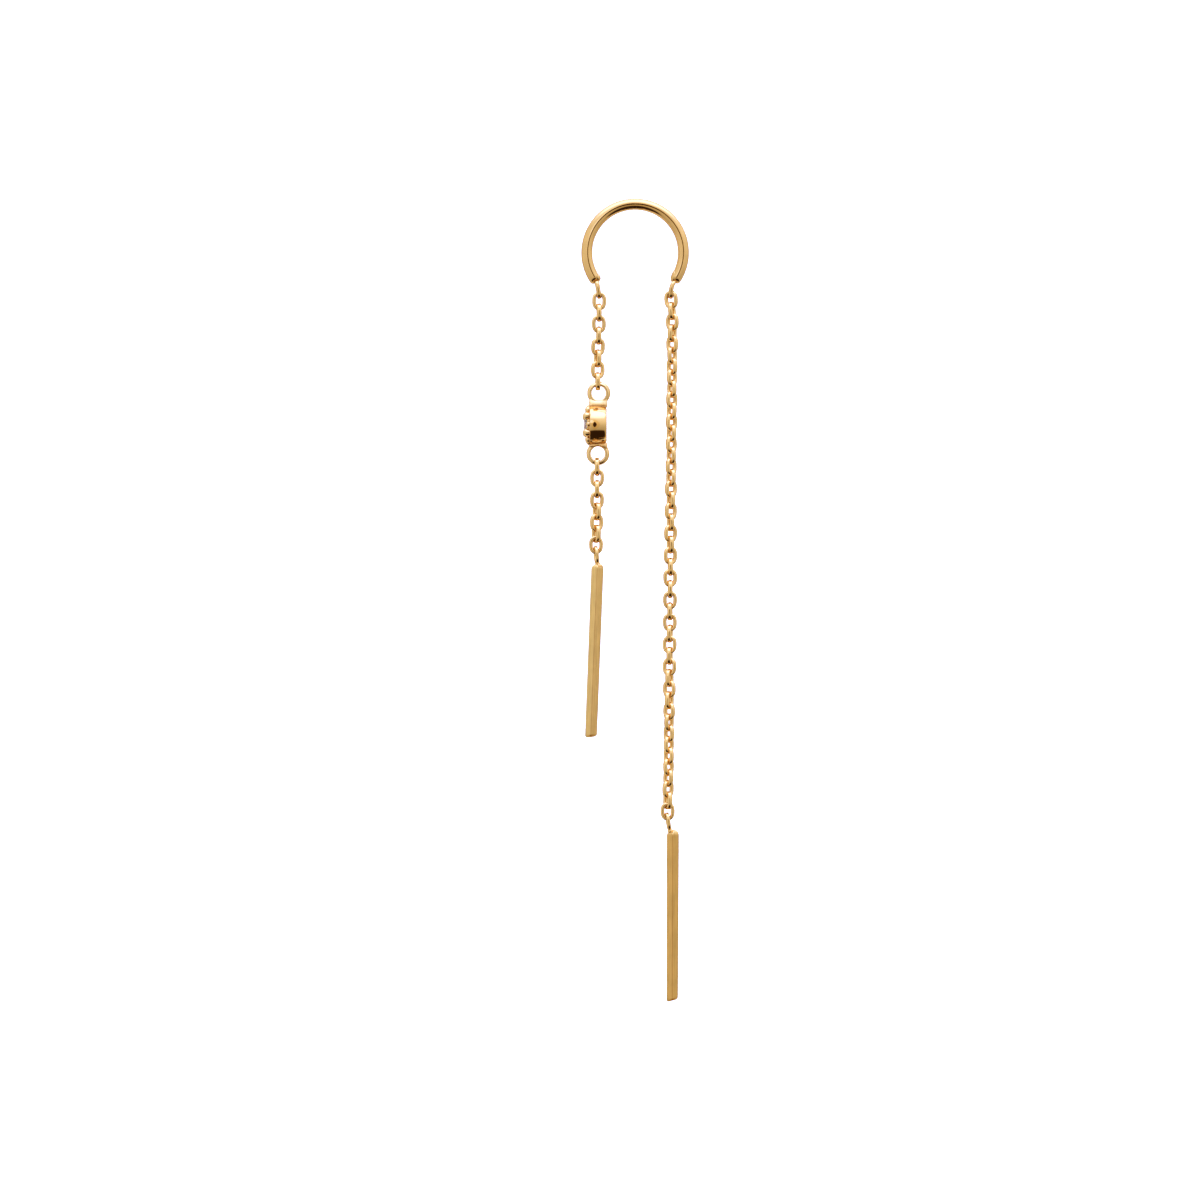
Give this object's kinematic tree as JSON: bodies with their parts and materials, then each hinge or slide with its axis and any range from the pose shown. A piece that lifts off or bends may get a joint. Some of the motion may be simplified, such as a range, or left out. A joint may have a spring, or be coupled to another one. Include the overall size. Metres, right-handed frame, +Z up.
{
  "type": "chain drop earring",
  "caption": "Threader drop earring: a round wire arch over the ear lobe, a fine chain with a bezel-set stone and a square bar in front, and a longer chain and bar behind.",
  "frame": {"origin": "the inside of the arch's crown, where the hook wire rests in the pierced lobe", "axes": "+Z up; X runs across the arch in its plane, with the stone strand at -X; Y runs through the lobe's width, square to the arch's plane"},
  "size_m": [0.0096, 0.0034, 0.0723],
  "materials": {
    "hook_gold": "polished, gold plated",
    "chain_gold": "polished, gold plated",
    "setting_gold": "mirror polished, gold plated",
    "bar_gold": "satin polished along its length, gold plated",
    "stone": "clear, brilliant cut"
  },
  "bodies": {
    "hook_and_chains": {"ear_hook": "hook_gold", "front_chain_upper": "chain_gold", "stone_setting": "setting_gold", "stone": "stone", "front_chain_lower": "chain_gold", "front_end_link": "chain_gold", "back_chain": "chain_gold", "back_end_link": "chain_gold"},
    "front_bar": {"front_bar": "bar_gold"},
    "back_bar": {"back_bar": "bar_gold"}
  },
  "joints": [
    {"name": "front_bar_swing", "type": "hinge", "parent": "hook_and_chains", "child": "front_bar", "pos_m": [-0.00352, 0, -0.03083], "axis": [1, 0, 0], "range_deg": [-90, 90]},
    {"name": "back_bar_swing", "type": "hinge", "parent": "hook_and_chains", "child": "back_bar", "pos_m": [0.00293, 0, -0.05481], "axis": [1, 0, 0], "range_deg": [-90, 90]}
  ]
}
